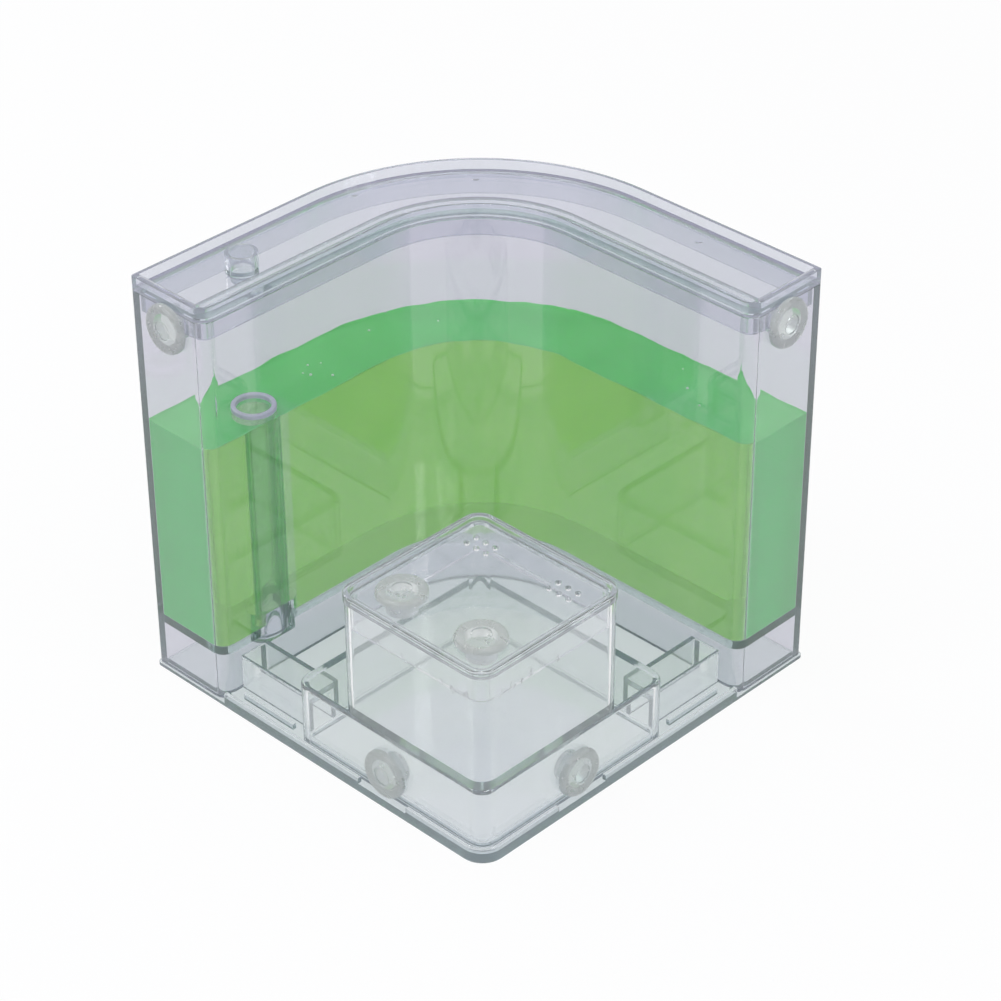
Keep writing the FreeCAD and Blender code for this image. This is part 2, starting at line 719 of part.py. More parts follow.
def feeding_box():
    body = new_body("feeding_box")
    low = BOX_NEAR
    high = BOX_FAR
    wall = size("box_wall")
    walls = sketch_on(body, "box_walls", "XY_Plane", size("chamber_top"))
    outline(walls, rectangle(low, high, -high, -low, size("box_radius")))
    pad(body, walls, size("box_top") - size("chamber_top"))
    room = sketch_on(body, "box_room", "XY_Plane", size("box_top"))
    outline(room, rectangle(low + wall, high - wall, wall - high, -low - wall,
                            size("box_radius") - wall))
    pocket(body, room, size("box_top") - size("chamber_top") - size("box_floor"))
    spigot = sketch_on(body, "box_spigot", "XY_Plane", size("chamber_top"))
    circle(spigot, SPIGOT_RADIUS, SPIGOT_CENTRE, -SPIGOT_CENTRE)
    pad(body, spigot, size("chamber_roof"), reverse=True)
    bore = sketch_on(body, "spigot_bore", "XY_Plane", size("chamber_top") + size("box_floor"))
    circle(bore, SPIGOT_BORE_RADIUS, SPIGOT_CENTRE, -SPIGOT_CENTRE)
    pocket(body, bore, size("box_floor") + size("chamber_roof"))
    round_edges(body, "box_top_edges", size("box_edge_round"), level_edge(size("box_top")))
    return body


# Feeding box lid

def feeding_box_lid():
    body = new_body("feeding_box_lid")
    over = size("box_lid_overhang")
    low = BOX_NEAR - over
    high = BOX_FAR + over
    radius = size("box_radius") + over
    rim = size("box_lid_rim")
    plate = sketch_on(body, "box_lid_plate", "XY_Plane", size("box_top"))
    outline(plate, rectangle(low, high, -high, -low, radius))
    pad(body, plate, size("box_lid_height"))
    recess = sketch_on(body, "box_lid_recess", "XY_Plane", BOX_LID_TOP)
    outline(recess, rectangle(low + rim, high - rim, rim - high, -low - rim, radius - rim))
    pocket(body, recess, size("box_lid_recess"))
    round_edges(body, "box_lid_edges", size("box_lid_edge_round"), level_edge(BOX_LID_TOP))

    skirt_out = size("box_wall") + size("box_skirt_gap")
    skirt_in = skirt_out + size("box_skirt_wall")
    skirt = sketch_on(body, "box_lid_skirt", "XY_Plane", size("box_top"))
    for inset in (skirt_out, skirt_in):
        outline(skirt, rectangle(BOX_NEAR + inset, BOX_FAR - inset,
                                 inset - BOX_FAR, -BOX_NEAR - inset,
                                 size("box_radius") - inset))
    pad(body, skirt, size("box_skirt_depth"), reverse=True)

    plate_top = BOX_LID_TOP - size("box_lid_recess")
    plate_thick = size("box_lid_height") - size("box_lid_recess")
    first = BOX_NEAR + size("box_plug_near") - over
    row = BOX_FAR - size("box_plug_near")
    holes = sketch_on(body, "box_plug_holes", "XY_Plane", plate_top)
    circle(holes, PLUG_HOLE_RADIUS, first, -row)
    circle(holes, PLUG_HOLE_RADIUS, first + size("box_plug_pitch"), -row)
    pocket(body, holes, plate_thick)
    lid_vents(body, plate_top, plate_thick)
    return body


def lid_vents(body, plate_top, plate_thick):
    """Two groups of air holes and the fine groove between them."""
    row_y = -BOX_NEAR - size("vent_from_back")
    first_x = BOX_NEAR + size("vent_near")
    vents = sketch_on(body, "air_holes", "XY_Plane", plate_top)
    for group in range(2):
        group_x = first_x + size("vent_group_pitch") * group
        for column in range(VENT_COLUMNS):
            x = group_x + size("vent_pitch") * (column - (VENT_COLUMNS - 1) / 2)
            for line in range(VENT_ROWS):
                y = row_y + size("vent_pitch") * (line - (VENT_ROWS - 1) / 2)
                circle(vents, size("vent_hole") / 2, x, y)
    pocket(body, vents, plate_thick)
    middle_x = first_x + size("vent_group_pitch") / 2
    groove = sketch_on(body, "lid_groove", "XY_Plane", plate_top)
    outline(groove, rectangle(middle_x - size("groove_length") / 2,
                              middle_x + size("groove_length") / 2,
                              row_y - size("groove_width") / 2,
                              row_y + size("groove_width") / 2))
    pocket(body, groove, size("groove_depth"))


# Check and write

def check(bodies):
    doc.recompute()
    for item in doc.Objects:
        if "Invalid" in item.State or "Error" in item.State:
            raise RuntimeError(f"{item.Label} failed: {item.State}")
    for body in bodies:
        if body.Shape.isNull() or not body.Shape.isValid():
            raise RuntimeError(f"{body.Label} has no valid shape")
        if len(body.Shape.Solids) != 1:
            raise RuntimeError(f"{body.Label} has {len(body.Shape.Solids)} solids")


def main():
    bodies = [base_tray(), gel_tank(), climbing_tube(), nest_gel(), tank_lid(), port_stopper(),
              lower_chamber(), feeding_box(), feeding_box_lid()] + silicone_plugs()
    check(bodies)
    os.makedirs(PARTS_FOLDER, exist_ok=True)
    for body in bodies:
        body.Shape.exportStep(os.path.join(PARTS_FOLDER, body.Label + ".step"))
        box = body.Shape.optimalBoundingBox()
        print(f"{body.Label:20s} {body.Shape.Volume:10.1f} mm3  "
              f"x {box.XMin:.2f} {box.XMax:.2f}  y {box.YMin:.2f} {box.YMax:.2f}  "
              f"z {box.ZMin:.2f} {box.ZMax:.2f}")


main()
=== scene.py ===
# The looks of a clear gel ant habitat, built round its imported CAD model.
# The file follows the object from the table up: tray, tank, gel, tube, lid, plugs, chamber, feeding box.

import math
import random
import bmesh
import bpy
from mathutils import Matrix, Vector, noise


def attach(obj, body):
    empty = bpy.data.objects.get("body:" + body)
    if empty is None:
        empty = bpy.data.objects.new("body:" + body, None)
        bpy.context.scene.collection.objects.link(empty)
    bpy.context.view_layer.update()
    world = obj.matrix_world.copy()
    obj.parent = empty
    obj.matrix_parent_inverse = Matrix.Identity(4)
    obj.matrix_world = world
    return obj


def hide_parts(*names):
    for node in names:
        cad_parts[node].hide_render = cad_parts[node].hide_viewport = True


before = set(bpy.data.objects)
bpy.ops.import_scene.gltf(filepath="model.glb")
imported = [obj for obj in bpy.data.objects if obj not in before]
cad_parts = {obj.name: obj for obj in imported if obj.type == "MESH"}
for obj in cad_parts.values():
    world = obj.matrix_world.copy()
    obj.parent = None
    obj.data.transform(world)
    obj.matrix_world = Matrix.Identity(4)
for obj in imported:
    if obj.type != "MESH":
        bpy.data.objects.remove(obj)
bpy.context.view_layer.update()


# Studio: a pale lavender card under the habitat, a white sky, three soft boxes and a long thin strip.
# The card keeps the habitat's shadow. It is lifted to white for the camera and, less, behind clear plastic.

CARD_SIZE = 4.0
CARD_DROP = 0.0002
CARD_COLOUR = "#e9eaf0"
LIFT_SEEN = 0.93
LIFT_MIRRORED = 0.9
LIFT_THROUGH = 0.70
SKY_LIGHT = 0.78
SKY_SEEN = 1.0
SKY_MIRRORED = 1.0
SKY_THROUGH = 0.88
WHITE = 1.0


def linear(hex_colour):
    """An sRGB hex colour as linear red, green, blue and a full alpha."""
    levels = [int(hex_colour[i:i + 2], 16) / 255 for i in (1, 3, 5)]
    return [c / 12.92 if c <= 0.04045 else ((c + 0.055) / 1.055) ** 2.4 for c in levels] + [1.0]


def add(tree, kind, settings=None, **inputs):
    """Adds a node. An input may be a value or another node's output; names use _ for spaces."""
    node = tree.nodes.new(kind)
    for name, value in (settings or {}).items():
        setattr(node, name, value)
    for name, value in inputs.items():
        key = int(name[2:]) if name.startswith("in") and name[2:].isdigit() else name.replace("_", " ")
        if isinstance(value, bpy.types.NodeSocket):
            tree.links.new(value, node.inputs[key])
        else:
            node.inputs[key].default_value = value
    return node


def new_material(name):
    """An empty node material. Returns it with its tree and its output node."""
    material = bpy.data.materials.new(name)
    material.use_nodes = True
    tree = material.node_tree
    tree.nodes.clear()
    return material, tree, tree.nodes.new("ShaderNodeOutputMaterial")


def by_ray(tree, otherwise, through, mirrored, seen):
    """A value for rays that light things, then for those through plastic, in a mirror and to the camera."""
    path = add(tree, "ShaderNodeLightPath")
    value = otherwise
    for kind, level in (("Is Transmission Ray", through), ("Is Glossy Ray", mirrored),
                        ("Is Camera Ray", seen)):
        value = add(tree, "ShaderNodeMix", {"data_type": "FLOAT"},
                    in0=path.outputs[kind], in2=value, in3=level).outputs[0]
    return value


card, tree, out = new_material("matt_white_card")
paper = add(tree, "ShaderNodeBsdfDiffuse", Color=linear(CARD_COLOUR))
lift = add(tree, "ShaderNodeEmission", Strength=WHITE)
mixed = add(tree, "ShaderNodeMixShader",
            in0=by_ray(tree, 0.0, LIFT_THROUGH, LIFT_MIRRORED, LIFT_SEEN),
            in1=paper.outputs[0], in2=lift.outputs[0])
tree.links.new(mixed.outputs[0], out.inputs["Surface"])

bpy.ops.mesh.primitive_plane_add(size=CARD_SIZE, location=(0, 0, -CARD_DROP))
sheet = bpy.context.active_object
sheet.name = "studio_card"
sheet.data.materials.append(card)

world = bpy.data.worlds.new("studio_sky")
bpy.context.scene.world = world
world.use_nodes = True
tree = world.node_tree
tree.nodes.clear()
sky = add(tree, "ShaderNodeBackground",
          Strength=by_ray(tree, SKY_LIGHT, SKY_THROUGH, SKY_MIRRORED, SKY_SEEN))
out = tree.nodes.new("ShaderNodeOutputWorld")
tree.links.new(sky.outputs[0], out.inputs["Surface"])

# The lamps light the habitat but aren't seen through it. The long narrow strip hangs over the front.
LAMPS_AIM = Vector((0, 0, 0.06))
for name, place, width, depth, watts in (("key_softbox", (-0.35, -0.75, 1.1), 0.5, 0.5, 3.5),
                                         ("fill_softbox", (0.95, 0.25, 0.8), 0.3, 0.3, 2.0),
                                         ("side_softbox", (-0.95, -0.05, 0.8), 0.3, 0.3, 2.5),
                                         ("edge_strip", (0.42, -0.42, 1.25), 1.2, 0.03, 3.0)):
    lamp = bpy.data.lights.new(name, "AREA")
    lamp.shape = "RECTANGLE"
    lamp.size = width
    lamp.size_y = depth
    lamp.energy = watts
    holder = bpy.data.objects.new(name, lamp)
    holder.location = place
    holder.rotation_euler = (LAMPS_AIM - Vector(place)).to_track_quat("-Z", "Y").to_euler()
    holder.visible_transmission = False
    bpy.context.collection.objects.link(holder)

# The camera stands where the photograph was taken from.
CAMERA_AT = Vector((0.592251, -0.594365, 0.625102))
CAMERA_ALONG = Vector((-0.58159, 0.59331, -0.55654)).normalized()
CAMERA_ROLL = math.radians(-0.28)
LENS_MM = 114.25
SENSOR_MM = 36.0
level = CAMERA_ALONG.cross(Vector((0, 0, 1))).normalized()
upward = level.cross(CAMERA_ALONG)
right = level * math.cos(CAMERA_ROLL) + upward * math.sin(CAMERA_ROLL)
up = upward * math.cos(CAMERA_ROLL) - level * math.sin(CAMERA_ROLL)
camera_data = bpy.data.cameras.new("camera")
camera_data.lens = LENS_MM
camera_data.sensor_width = SENSOR_MM
camera = bpy.data.objects.new("camera", camera_data)
turn = Matrix((right, up, -CAMERA_ALONG)).transposed()
camera.matrix_world = Matrix.Translation(CAMERA_AT) @ turn.to_4x4()
bpy.context.collection.objects.link(camera)
bpy.context.scene.camera = camera
bpy.context.scene.view_settings.view_transform = "Standard"

# Light crosses many clear walls here, so it is followed further than usual.
WALL_CROSSINGS = 40
MIRROR_BOUNCES = 16
cycles = bpy.context.scene.cycles
cycles.max_bounces = WALL_CROSSINGS
cycles.transmission_bounces = WALL_CROSSINGS
cycles.glossy_bounces = MIRROR_BOUNCES
cycles.transparent_max_bounces = WALL_CROSSINGS


# Base tray: the square floor that everything stands on, injection moulded in clear polystyrene.
# It is glassy, with an IOR of 1.59 that is taken a little low here, at 1.55.
# Thick edges look teal, and its faces carry hairline scratches.

MM = 0.001
POLYSTYRENE_IOR = 1.55
EDGE_TEAL = "#78b4ac"
SCRATCH_DEPTH = 0.004
SCRATCH_STRETCH = 12.0
SWELL_SPAN = 30
SWELL_SHARE = 4.0


def let_light_by(tree, out, skin, colour):
    """Makes a clear piece's surface. Shadow and diffuse rays pass straight through it, so that
    what stands behind is lit. All other rays meet the skin."""
    path = add(tree, "ShaderNodeLightPath")
    passing = add(tree, "ShaderNodeMath", {"operation": "MAXIMUM"},
                  in0=path.outputs["Is Shadow Ray"], in1=path.outputs["Is Diffuse Ray"])
    open_way = add(tree, "ShaderNodeBsdfTransparent", Color=linear(colour))
    mixed = add(tree, "ShaderNodeMixShader", in0=passing.outputs[0],
                in1=skin.outputs[0], in2=open_way.outputs[0])
    tree.links.new(mixed.outputs[0], out.inputs["Surface"])


def clear_polystyrene(name, tint, haze, density, scratch_mm=9.0, ior=POLYSTYRENE_IOR):
    """Clear moulded polystyrene: a tinted glassy skin with a little haze, teal in its thickness."""
    material, tree, out = new_material(name)
    place = add(tree, "ShaderNodeTexCoord").outputs["Object"]
    # Hairline scratches lie along one way: the pattern is stretched twelve times.
    stretched = add(tree, "ShaderNodeMapping", Vector=place, Rotation=(0.3, 0.5, 0.8),
                    Scale=(1.0, SCRATCH_STRETCH, SCRATCH_STRETCH))
    hairlines = add(tree, "ShaderNodeTexNoise", Vector=stretched.outputs[0],
                    Scale=1 / (scratch_mm * MM), Detail=6.0, Roughness=0.65)
    # Flow of the melt leaves slow swells about 30 mm across.
    swells = add(tree, "ShaderNodeTexNoise", Vector=place, Scale=1 / (SWELL_SPAN * MM), Detail=2.0)
    height = add(tree, "ShaderNodeMath", {"operation": "MULTIPLY_ADD"},
                 in0=swells.outputs["Fac"], in1=SWELL_SHARE, in2=hairlines.outputs["Fac"])
    relief = add(tree, "ShaderNodeBump", Height=height.outputs[0], Strength=0.35,
                 Distance=SCRATCH_DEPTH * MM)
    worn = add(tree, "ShaderNodeMapRange", Value=hairlines.outputs["Fac"],
               From_Min=0.52, From_Max=0.75, To_Min=0.015, To_Max=0.09)
    skin = add(tree, "ShaderNodeBsdfPrincipled", Base_Color=linear(tint), IOR=ior,
               Roughness=worn.outputs["Result"], Normal=relief.outputs[0],
               Transmission_Weight=1.0 - haze)
    let_light_by(tree, out, skin, "#f8f9fb")
    body = add(tree, "ShaderNodeVolumeAbsorption", Color=linear(EDGE_TEAL), Density=density)
    tree.links.new(body.outputs[0], out.inputs["Volume"])
    return material


def dress(node, material):
    """Gives a CAD node its finished material."""
    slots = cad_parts[node].data.materials
    slots.clear()
    slots.append(material)


dress("base_tray", clear_polystyrene("tray_polystyrene", "#dce1e4", 0.07, 8.0))


# Gel tank: the L-shaped outer box, moulded in one piece with its floor and tube socket.
# Injection moulded in clear polystyrene, with a faint lavender tone and fewer, longer scratches.

dress("gel_tank", clear_polystyrene("tank_polystyrene", "#ebe9f0", 0.05, 18.0, scratch_mm=14.0))


# Nest gel: the ants' food and digging ground, poured in warm and set, a water gel with an IOR of 1.34.
# It is green jelly, part clear and part cloudy, and its faces carry painted light and shade: each face is a
# lighter or darker copy of the one gel. Its top is uneven, with a lip that creeps up the walls.

GEL_TOP = 96.3
GEL_BOTTOM = 20.75
GEL_OUTER = 71.8
GEL_INNER = 44.55
GEL_OUTER_RADIUS = 72.55
GEL_INNER_RADIUS = 42.95
GEL_NOSE_RADIUS = 2.55
GEL_NOSE_END = 8
GEL_SAG = 0.9
GEL_CREEP = 0.9
GEL_COLUMNS = (0, 0.015, 0.04, 0.09, 0.18, 0.34, 0.5, 0.66, 0.82, 0.91, 0.96, 0.985, 1)
TUBE_AT = (-52.0, -48.2)
TUBE_WINDOW = 8.0
TUBE_HOLE_RADIUS = 7.2
SOCKET_HOLE_RADIUS = 9.65
SOCKET_TOP = 25.1

# Each face names its painted shade of the one gel by index. The hole cut round the tube keeps index 0.
FRONT, ENDS, OPEN_TOP, DEEP, WINDOW = range(1, 6)


def gel_stations():
    """Pairs of wall points, inner and outer, from the left arm's end round to the right arm's end."""
    arm = []
    inner_centre = -GEL_INNER + GEL_INNER_RADIUS
    outer_centre = -GEL_OUTER + GEL_OUTER_RADIUS
    for step in (0, 0.15, 0.45, 0.95, 1.65, 2.55, 5, GEL_NOSE_END):
        near = max(GEL_NOSE_RADIUS - step, 0)
        drawn_in = GEL_NOSE_RADIUS - math.sqrt(GEL_NOSE_RADIUS ** 2 - near ** 2)
        arm.append(((-GEL_INNER - drawn_in, -GEL_OUTER + step), (-GEL_OUTER, -GEL_OUTER + step)))
    runs = 17
    for i in range(1, runs + 1):
        t = i / runs
        start = -GEL_OUTER + GEL_NOSE_END
        arm.append(((-GEL_INNER, start + (-inner_centre - start) * t),
                    (-GEL_OUTER, start + (-outer_centre - start) * t)))
    turn_steps = 40
    bend = []
    for i in range(1, turn_steps):
        angle = math.pi - math.pi / 2 * i / turn_steps
        c, s = math.cos(angle), math.sin(angle)
        bend.append(((inner_centre + GEL_INNER_RADIUS * c, -inner_centre + GEL_INNER_RADIUS * s),
                     (outer_centre + GEL_OUTER_RADIUS * c, -outer_centre + GEL_OUTER_RADIUS * s)))
    far = [tuple((-y, -x) for x, y in pair) for pair in reversed(arm)]
    return arm + bend + far


def gel_height(x, y, across):
    """The set surface: slow waves, a fine ripple, and a lip that climbs both walls."""
    slow = noise.noise(Vector((x / 34, y / 34, 3.1))) * 0.55
    fine = noise.noise(Vector((x / 7, y / 7, 8.7))) * 0.16
    wall = min(across, 1 - across)
    lip = GEL_CREEP * math.exp(-wall / 0.02) * (0.6 + 0.8 * noise.noise(Vector((x / 9, y / 9, 5.5))))
    return GEL_TOP - GEL_SAG + slow + fine + max(lip, 0)


stations = gel_stations()
mesh = bmesh.new()
top, low = [], []
for inner, outer in stations:
    top_row, low_row = [], []
    for t in GEL_COLUMNS:
        x = inner[0] + (outer[0] - inner[0]) * t
        y = inner[1] + (outer[1] - inner[1]) * t
        top_row.append(mesh.verts.new((x * MM, y * MM, gel_height(x, y, t) * MM)))
        low_row.append(mesh.verts.new((x * MM, y * MM, GEL_BOTTOM * MM)))
    top.append(top_row)
    low.append(low_row)
last = len(GEL_COLUMNS) - 1
for i in range(len(stations) - 1):
    for j in range(last):
        surface = mesh.faces.new((top[i][j], top[i][j + 1], top[i + 1][j + 1], top[i + 1][j]))
        surface.material_index = OPEN_TOP
        floor = mesh.faces.new((low[i][j], low[i + 1][j], low[i + 1][j + 1], low[i][j + 1]))
        floor.material_index = DEEP
    front = mesh.faces.new((top[i][0], top[i + 1][0], low[i + 1][0], low[i][0]))
    middle = (stations[i][0][1] + stations[i + 1][0][1]) / 2
    beside_tube = i < len(stations) / 2 and abs(middle - TUBE_AT[1]) < TUBE_WINDOW
    front.material_index = WINDOW if beside_tube else FRONT
    back = mesh.faces.new((top[i + 1][last], top[i][last], low[i][last], low[i + 1][last]))
    back.material_index = DEEP
for j in range(last):
    for end in (mesh.faces.new((top[0][j + 1], top[0][j], low[0][j], low[0][j + 1])),
                mesh.faces.new((top[-1][j], top[-1][j + 1], low[-1][j + 1], low[-1][j]))):
        end.material_index = ENDS
bmesh.ops.recalc_face_normals(mesh, faces=mesh.faces)


def cut_round(target, centre, radius, low_z, high_z):
    """Takes a round hole out of a piece, in mm."""
    middle = (centre[0] * MM, centre[1] * MM, (low_z + high_z) / 2 * MM)
    bpy.ops.mesh.primitive_cylinder_add(vertices=72, radius=radius * MM, depth=(high_z - low_z) * MM,
                                        location=middle)
    take_out(target, bpy.context.active_object)


def take_out(target, tool):
    """Cuts the tool's shape out of a piece, then removes the tool."""
    cut = target.modifiers.new("hole", "BOOLEAN")
    cut.operation = "DIFFERENCE"
    cut.solver = "EXACT"
    cut.object = tool
    bpy.context.view_layer.objects.active = target
    bpy.ops.object.modifier_apply(modifier="hole")
    bpy.data.objects.remove(tool, do_unlink=True)


def piece_from(mesh, name, *materials):
    """A Blender object from mesh data, smooth but for its real corners."""
    data = bpy.data.meshes.new(name)
    mesh.to_mesh(data)
    mesh.free()
    for material in materials:
        data.materials.append(material)
    data.polygons.foreach_set("use_smooth", [True] * len(data.polygons))
    data.set_sharp_from_angle(angle=math.radians(32))
    piece = bpy.data.objects.new(name, data)
    bpy.context.collection.objects.link(piece)
    return piece


def water_gel(name, tint, deep_tint, clearness, density):
    """Set jelly: part clear and part cloudy, its cloud drifting over 18 mm, with fine ripples."""
    material, tree, out = new_material(name)
    place = add(tree, "ShaderNodeTexCoord").outputs["Object"]
    cloud = add(tree, "ShaderNodeTexNoise", Vector=place, Scale=1 / (18 * MM), Detail=3.0)
    drift = add(tree, "ShaderNodeMapRange", Value=cloud.outputs["Fac"], From_Min=0.35, From_Max=0.65)
    colour = add(tree, "ShaderNodeMix", {"data_type": "RGBA"}, in0=drift.outputs["Result"],
                 in6=linear(tint), in7=linear(deep_tint))
    ripple = add(tree, "ShaderNodeTexNoise", Vector=place, Scale=1 / (5 * MM), Detail=2.0)
    relief = add(tree, "ShaderNodeBump", Height=ripple.outputs["Fac"], Strength=0.15, Distance=0.1 * MM)
    jelly = add(tree, "ShaderNodeBsdfPrincipled", Base_Color=colour.outputs[2], IOR=1.34,
                Roughness=0.06, Transmission_Weight=clearness, Normal=relief.outputs[0])
    let_light_by(tree, out, jelly, "#b4e6bc")
    depth = add(tree, "ShaderNodeVolumeAbsorption", Color=linear("#7fe08c"), Density=density)
    tree.links.new(depth.outputs[0], out.inputs["Volume"])
    return material


# Painted light and shade: six lit and shaded copies of one gel, face by face. The front wall and the window
# before the tube are painted lighter and yellower, the back wall and floor pale and clear, the end walls
# and open top darker and cloudier, and the hole round the tube is painted pale and clear against the poor
# light in it.
gel_round_tube = water_gel("set_water_gel_round_tube", "#d8fccc", "#d0f8c4", 0.97, 1.0)
gel_front_painted_shade = water_gel("set_water_gel_at_front_wall", "#b0fb5a", "#a2f650", 0.88, 1.0)
gel_before_tube_painted_shade = water_gel("set_water_gel_before_tube", "#ccfaa4", "#c4f69c", 0.92, 1.0)
gel_ends_painted_shade = water_gel("set_water_gel_at_end_walls", "#0cd852", "#08d24e", 0.38, 4.0)
gel_top_painted_shade = water_gel("set_water_gel_open_top", "#5ce670", "#54de68", 0.35, 3.0)
gel_back_painted_shade = water_gel("set_water_gel_at_back_wall", "#c4fcae", "#bcf8a6", 0.92, 2.0)
gel = piece_from(mesh, "poured_gel", gel_round_tube, gel_front_painted_shade, gel_ends_painted_shade, gel_top_painted_shade, gel_back_painted_shade,
                 gel_before_tube_painted_shade)
cut_round(gel, TUBE_AT, TUBE_HOLE_RADIUS, GEL_BOTTOM - 5, GEL_TOP + 10)
cut_round(gel, TUBE_AT, SOCKET_HOLE_RADIUS, GEL_BOTTOM - 5, SOCKET_TOP)
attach(gel, "gel_tank")
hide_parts("nest_gel")

# Small air bubbles were caught in the gel's skin when it was poured.
BUBBLE_SPOTS = ((-61.4, -16.7), (-58.9, -21.1), (-56.4, -20.0), (-59.3, -12.9), (-51.2, -15.3),
                (-50.6, 32.1), (11.7, 62.3), (36.7, 58.3), (46.1, 53.3), (-63.0, 12.0), (28.0, 66.0))
BUBBLE_DEPTH = 1.0
BUBBLE_RADII = (0.3, 0.65)
random.seed(7)
# Painted glint: the bubbles are opaque pale balls, whose pale colour stands in for the bright reflection of
# air caught in the gel.
air, tree, out = new_material("air_in_gel_painted_glint")
glint = add(tree, "ShaderNodeBsdfPrincipled", Base_Color=linear("#d8efd8"), Roughness=0.05, IOR=1.33)
speck = add(tree, "ShaderNodeTexNoise", Vector=add(tree, "ShaderNodeTexCoord").outputs["Object"],
            Scale=1 / (0.6 * MM), Detail=1.0)
relief = add(tree, "ShaderNodeBump", Height=speck.outputs["Fac"], Strength=0.3, Distance=0.05 * MM)
tree.links.new(relief.outputs[0], glint.inputs["Normal"])
tree.links.new(glint.outputs[0], out.inputs["Surface"])
mesh = bmesh.new()
for x, y in BUBBLE_SPOTS:
    place = Matrix.Translation(Vector((x, y, GEL_TOP - BUBBLE_DEPTH)) * MM)
    bmesh.ops.create_icosphere(mesh, subdivisions=3, radius=random.uniform(*BUBBLE_RADII) * MM,
                               matrix=place)
bubbles = piece_from(mesh, "gel_bubbles", air)
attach(bubbles, "gel_tank")


# Climbing tube: a clear pipe pushed into the tank floor's socket, by which the ants reach the gel's top.
# It is extruded in clear polystyrene and sawn off, so its lip shows as a milky lavender ring.
# Its IOR is taken against the gel round it, 1.59 over 1.34.

IOR_IN_GEL = 1.19
dress("climbing_tube", clear_polystyrene("milky_tube_polystyrene", "#fcfcff", 0.05, 2.0,
                                         scratch_mm=5.0, ior=IOR_IN_GEL))

# Its sawn end is milky: a ring with a softly rounded lip, seen above the gel.
LIP_TOP = 99.05
LIP_LOW = 97.6
LIP_OUTER = 7.22
LIP_INNER = 5.62
LIP_ROUND = 0.35
LIP_SEGMENTS = 72
milky, tree, out = new_material("milky_sawn_end")
grain = add(tree, "ShaderNodeTexNoise", Vector=add(tree, "ShaderNodeTexCoord").outputs["Object"],
            Scale=1 / (0.8 * MM), Detail=3.0)
relief = add(tree, "ShaderNodeBump", Height=grain.outputs["Fac"], Strength=0.3, Distance=0.04 * MM)
sawn = add(tree, "ShaderNodeBsdfPrincipled", Base_Color=linear("#e2e0f0"), Roughness=0.35, IOR=1.5,
           Transmission_Weight=0.45, Normal=relief.outputs[0])
tree.links.new(sawn.outputs[0], out.inputs["Surface"])
profile = [(LIP_INNER, LIP_LOW), (LIP_OUTER, LIP_LOW)]
for corner, start in (((LIP_OUTER - LIP_ROUND, LIP_TOP - LIP_ROUND), 0),
                      ((LIP_INNER + LIP_ROUND, LIP_TOP - LIP_ROUND), 90)):
    for step in range(5):
        angle = math.radians(start + 90 * step / 4)
        profile.append((corner[0] + LIP_ROUND * math.cos(angle), corner[1] + LIP_ROUND * math.sin(angle)))
mesh = bmesh.new()
rings = [[mesh.verts.new(Vector((TUBE_AT[0] + r * math.cos(2 * math.pi * k / LIP_SEGMENTS),
                                 TUBE_AT[1] + r * math.sin(2 * math.pi * k / LIP_SEGMENTS), z)) * MM)
          for r, z in profile] for k in range(LIP_SEGMENTS)]
for k in range(LIP_SEGMENTS):
    here, there = rings[k], rings[(k + 1) % LIP_SEGMENTS]
    for j in range(len(profile)):
        n = (j + 1) % len(profile)
        mesh.faces.new((here[j], there[j], there[n], here[n]))
bmesh.ops.recalc_face_normals(mesh, faces=mesh.faces)
lip = piece_from(mesh, "tube_lip", milky)
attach(lip, "gel_tank")


# Tank lid: the L-shaped cover with a raised rim and a skirt that drops inside the walls.
# Injection moulded like the tank, with slow swells from the melt in its broad panel.

dress("tank_lid", clear_polystyrene("lid_polystyrene", "#ebebf3", 0.10, 22.0))

# Ejector pins left three faint round marks in the lid's panel.
LID_PANEL = 143.6
PIN_MARKS = ((-66.4, 11.7), (-46.0, 46.2), (32.9, 64.7))
PIN_MARK_RADIUS = 1.2
PIN_MARK_HEIGHT = 0.25


def dome(mesh, centre, radius, height, rings=5, segments=24):
    """A low closed dome standing on a point, in mm."""
    base = Vector(centre)

    def point(r, z, k):
        angle = 2 * math.pi * k / segments
        return mesh.verts.new((base + Vector((r * math.cos(angle), r * math.sin(angle), z))) * MM)

    crown = mesh.verts.new((base + Vector((0, 0, height))) * MM)
    rows = []
    for ring in range(1, rings + 1):
        angle = math.pi / 2 * ring / rings
        rows.append([point(radius * math.sin(angle), height * math.cos(angle), k)
                     for k in range(segments)])
    for k in range(segments):
        n = (k + 1) % segments
        mesh.faces.new((crown, rows[0][k], rows[0][n]))
        for a, b in zip(rows, rows[1:]):
            mesh.faces.new((a[k], b[k], b[n], a[n]))
    mesh.faces.new(tuple(reversed(rows[-1])))


mesh = bmesh.new()
for x, y in PIN_MARKS:
    dome(mesh, (x, y, LID_PANEL), PIN_MARK_RADIUS, PIN_MARK_HEIGHT)
marks = piece_from(mesh, "lid_pin_marks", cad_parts["tank_lid"].data.materials[0])
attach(marks, "tank_lid")


# Stopper: the small clear cup that closes the filling port.
# Moulded in clear polystyrene, and held by its stem in the lid's hole.

dress("port_stopper", clear_polystyrene("stopper_polystyrene", "#f2f3f6", 0.08, 20.0,
                                        scratch_mm=4.0))


# Silicone plugs: six soft domed stoppers, cast in milky silicone with an IOR of 1.41.
# They close the tube ports in the tank's ends, the chamber's walls and the feeding box lid.


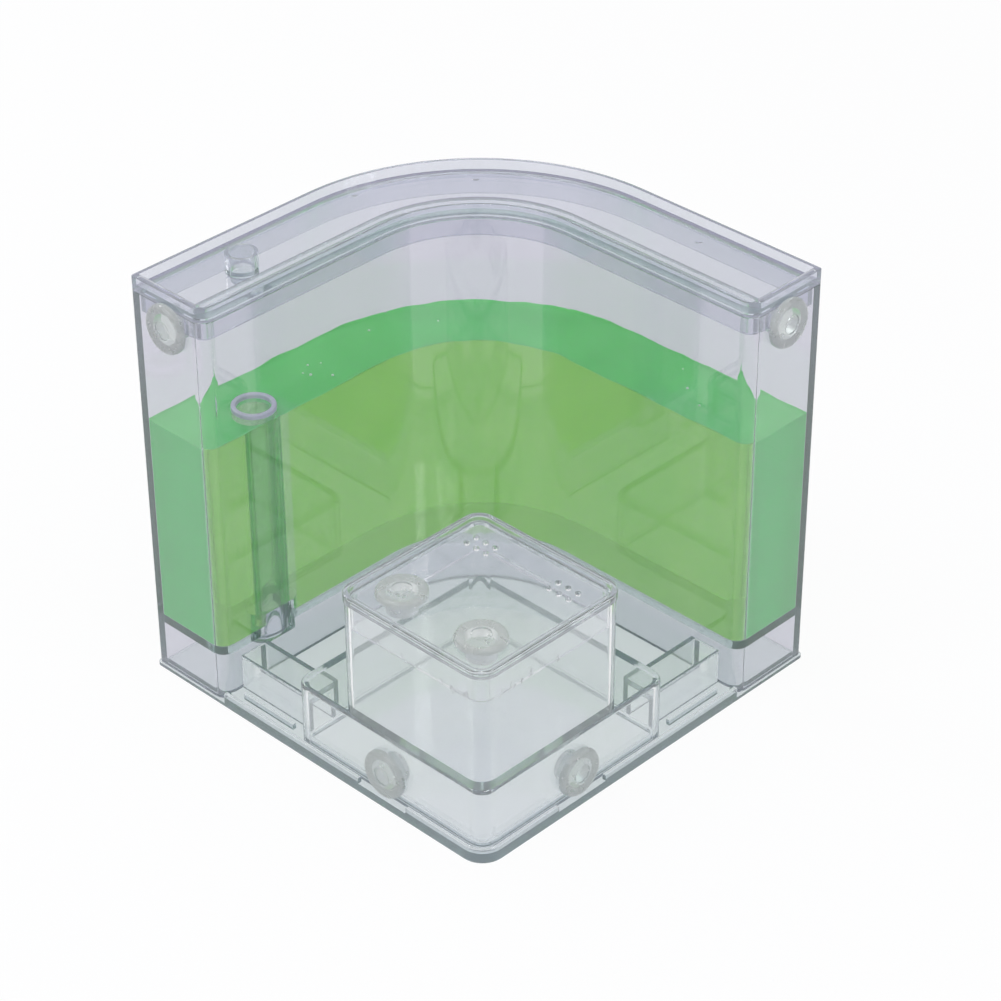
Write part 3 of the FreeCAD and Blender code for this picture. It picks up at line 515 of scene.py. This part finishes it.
def milky_silicone(name, tint):
    """Cast silicone: see-through but milky, with a patchy bloom that dulls it here and there."""
    material, tree, out = new_material(name)
    place = add(tree, "ShaderNodeTexCoord").outputs["Object"]
    bloom = add(tree, "ShaderNodeTexNoise", Vector=place, Scale=1 / (3 * MM), Detail=3.0)
    matt = add(tree, "ShaderNodeMapRange", Value=bloom.outputs["Fac"], From_Min=0.3, From_Max=0.7,
               To_Min=0.12, To_Max=0.3)
    relief = add(tree, "ShaderNodeBump", Height=bloom.outputs["Fac"], Strength=0.2, Distance=0.05 * MM)
    rubber = add(tree, "ShaderNodeBsdfPrincipled", Base_Color=linear(tint), IOR=1.41,
                 Roughness=matt.outputs["Result"], Transmission_Weight=0.8, Normal=relief.outputs[0])
    let_light_by(tree, out, rubber, "#f0f1f0")
    return material


silicone = milky_silicone("milky_silicone", "#e6e9e7")
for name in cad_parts:
    if "plug" in name:
        dress(name, silicone)


# Lower chamber: the low square room in the open corner, moulded with its two covered passages.
# Injection moulded in clear polystyrene, and located by the frame on the tray.

dress("lower_chamber", clear_polystyrene("chamber_polystyrene", "#fcfcfd", 0.04, 7.0))


# Feeding box and lid: the small square tower over the chamber's hatch.
# Both are injection moulded in clear polystyrene. A spigot locates the box, and a skirt the lid.

# The box's floor lies on the chamber's roof with a film of air between, which the CAD solids don't have.
AIR_FILM = 0.03
CHAMBER_TOP = 25.6
film_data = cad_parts["feeding_box"].data.copy()
for vertex in film_data.vertices:
    if abs(vertex.co.z - CHAMBER_TOP * MM) < AIR_FILM * MM:
        vertex.co.z += AIR_FILM * MM
film_data.materials.clear()
film_data.materials.append(clear_polystyrene("feeding_box_polystyrene", "#fcfcfd", 0.04, 7.0))
walls = bpy.data.objects.new("feeding_box_moulding", film_data)
bpy.context.collection.objects.link(walls)
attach(walls, "feeding_box")
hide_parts("feeding_box")

dress("feeding_box_lid", clear_polystyrene("feeding_lid_polystyrene", "#fcfcfd", 0.04, 7.0))

# The lid's skirt traps a line of dew drops, thickest near the front corner and thinning out from it.
DEW_LINE = 57.9
DEW_FACE = 69.95
DEW_DROPS = 34
DEW_CORNER_GAP = 4.5
DEW_SPREAD = 13
DEW_LAST = 16
DEW_THICKNESS = 0.16
dew, tree, out = new_material("water_drops")
shape = add(tree, "ShaderNodeTexNoise", Vector=add(tree, "ShaderNodeTexCoord").outputs["Object"],
            Scale=1 / (1.2 * MM), Detail=1.0)
relief = add(tree, "ShaderNodeBump", Height=shape.outputs["Fac"], Strength=0.6, Distance=0.1 * MM)
water = add(tree, "ShaderNodeBsdfPrincipled", Base_Color=linear("#fbfdfd"), Roughness=0.02, IOR=1.33,
            Transmission_Weight=0.75, Normal=relief.outputs[0])
tree.links.new(water.outputs[0], out.inputs["Surface"])
mesh = bmesh.new()
for drop in range(DEW_DROPS):
    along = DEW_FACE - DEW_CORNER_GAP - random.expovariate(1 / DEW_SPREAD)
    if along < DEW_LAST:
        continue
    size = random.uniform(0.35, 0.85)
    z = DEW_LINE + random.uniform(-0.4, 1.2)
    spot = (DEW_FACE, -along, z) if drop % 2 else (along, -DEW_FACE, z)
    radii = [DEW_THICKNESS, size, size * random.uniform(1.0, 2.2)]
    if not drop % 2:
        radii[0], radii[1] = radii[1], radii[0]
    shaped = Matrix.Diagonal([radius * MM for radius in radii] + [1])
    bmesh.ops.create_icosphere(mesh, subdivisions=2, radius=1.0,
                               matrix=Matrix.Translation(Vector(spot) * MM) @ shaped)
drops = piece_from(mesh, "dew_drops", dew)
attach(drops, "feeding_box_lid")
